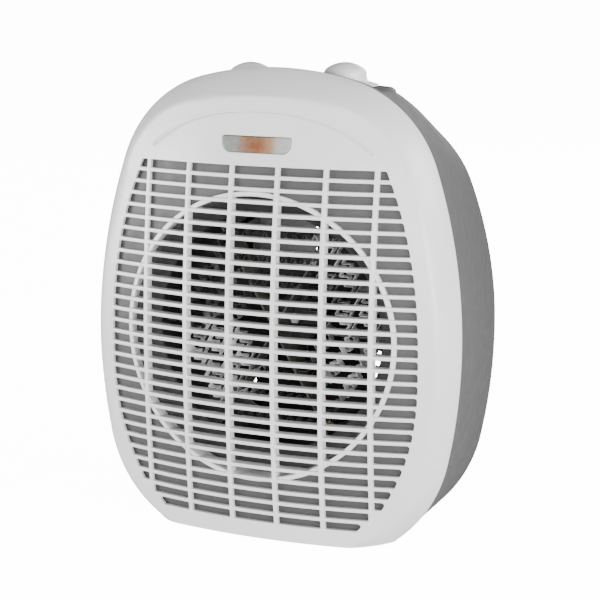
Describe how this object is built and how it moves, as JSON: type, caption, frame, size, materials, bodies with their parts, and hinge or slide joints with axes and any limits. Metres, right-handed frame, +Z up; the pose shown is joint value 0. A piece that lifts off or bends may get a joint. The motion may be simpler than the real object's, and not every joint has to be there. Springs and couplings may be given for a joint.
{
  "type": "fan convector heater",
  "caption": "Upright fan heater: bowed front cover with slatted grille, rounded rear casing, two domed control knobs on top, fan and ribbon element inside.",
  "frame": {"origin": "middle of the footprint box, on the floor under the rubber feet", "axes": "+Z up, the front grille faces -Y, +X to the right seen from the front"},
  "size_m": [0.2058, 0.124, 0.2474],
  "materials": {
    "cover_plastic": "light grey satin moulding",
    "knob_plastic": "light grey satin moulding",
    "casing_plastic": "mid grey fine texture",
    "baffle_plastic": "mid grey matt",
    "black_plastic": "heat-proof black moulding",
    "fan_plastic": "black satin moulding",
    "lens": "frosted",
    "neon": "clear tube with an orange glow",
    "rubber": "black matt",
    "gland_rubber": "black matt",
    "screw_steel": "zinc plated",
    "zinc_steel": "zinc plated",
    "shaft_steel": "ground",
    "lamination": "blued laminations",
    "enamelled_wire": "enamelled copper",
    "mica": "pressed mica sheet",
    "ribbon_alloy": "bright resistance ribbon",
    "brass": "bright",
    "aluminium": "drawn",
    "ceramic": "matt",
    "phenolic": "black phenolic",
    "block_plastic": "natural nylon"
  },
  "bodies": {
    "housing": {"front_cover": "cover_plastic", "front_baffle": "baffle_plastic", "indicator_lens": "lens", "lamp_holder": "black_plastic", "neon_lamp": "neon", "rear_casing": "casing_plastic", "rubber_feet": "rubber", "cord_gland": "gland_rubber", "casing_screws": "screw_steel", "fan_shroud": "black_plastic", "duct_screws": "screw_steel", "mica_frame": "mica", "heating_ribbon": "ribbon_alloy", "element_rivets": "brass", "thermal_cutout": "aluminium", "thermal_fuse": "ceramic", "motor_bracket": "zinc_steel", "bracket_screws": "screw_steel", "motor_bridges": "zinc_steel", "motor_stator": "lamination", "motor_coil": "enamelled_wire", "motor_screws": "screw_steel", "thermostat_body": "phenolic", "mode_switch_body": "phenolic", "control_nuts": "zinc_steel", "terminal_block": "block_plastic", "terminal_screws": "brass"},
    "fan_rotor": {"fan_impeller": "fan_plastic", "rotor_shaft": "shaft_steel"},
    "thermostat_control": {"thermostat_knob": "knob_plastic", "thermostat_shaft": "shaft_steel"},
    "mode_control": {"mode_knob": "knob_plastic", "mode_switch_shaft": "shaft_steel"}
  },
  "joints": [
    {"name": "fan_spin", "type": "hinge", "parent": "housing", "child": "fan_rotor", "pos_m": [0, 0, 0.1089], "axis": [0, 1, 0], "continuous": true},
    {"name": "thermostat_turn", "type": "hinge", "parent": "housing", "child": "thermostat_control", "pos_m": [0.027, -0.001, 0.235], "axis": [0, 0, -1], "range_deg": [0, 270]},
    {"name": "mode_turn", "type": "hinge", "parent": "housing", "child": "mode_control", "pos_m": [-0.027, -0.001, 0.235], "axis": [0, 0, -1], "range_deg": [0, 135]}
  ]
}
